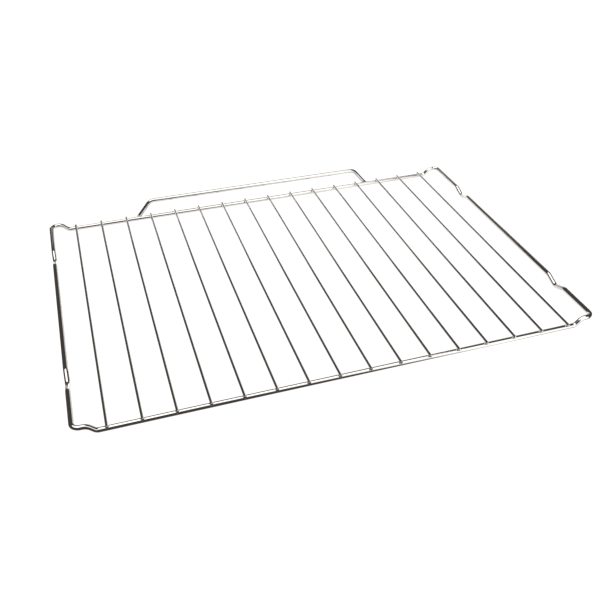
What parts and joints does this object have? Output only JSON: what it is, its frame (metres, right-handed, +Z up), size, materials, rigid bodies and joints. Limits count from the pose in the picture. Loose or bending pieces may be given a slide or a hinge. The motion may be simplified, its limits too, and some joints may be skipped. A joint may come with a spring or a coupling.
{
  "type": "oven shelf rack",
  "caption": "Flat oven shelf of chromed wire: thin cross rods welded over a bent frame with raised, notched side rails, and a low guard bar along the back.",
  "frame": {"origin": "middle of the shelf's width and depth, on the surface that its front and back rails lie on", "axes": "+X along the front rail to the right, +Y from front to back, +Z up"},
  "size_m": [0.46, 0.324, 0.022],
  "materials": {
    "chrome_wire": "bright chrome plate on drawn steel wire"
  },
  "bodies": {
    "root": {"frame_wire": "chrome_wire", "cross_rod_01": "chrome_wire", "cross_rod_02": "chrome_wire", "cross_rod_03": "chrome_wire", "cross_rod_04": "chrome_wire", "cross_rod_05": "chrome_wire", "cross_rod_06": "chrome_wire", "cross_rod_07": "chrome_wire", "cross_rod_08": "chrome_wire", "cross_rod_09": "chrome_wire", "cross_rod_10": "chrome_wire", "cross_rod_11": "chrome_wire", "cross_rod_12": "chrome_wire", "cross_rod_13": "chrome_wire", "cross_rod_14": "chrome_wire", "cross_rod_15": "chrome_wire", "cross_rod_16": "chrome_wire", "rear_guard": "chrome_wire"}
  },
  "joints": []
}
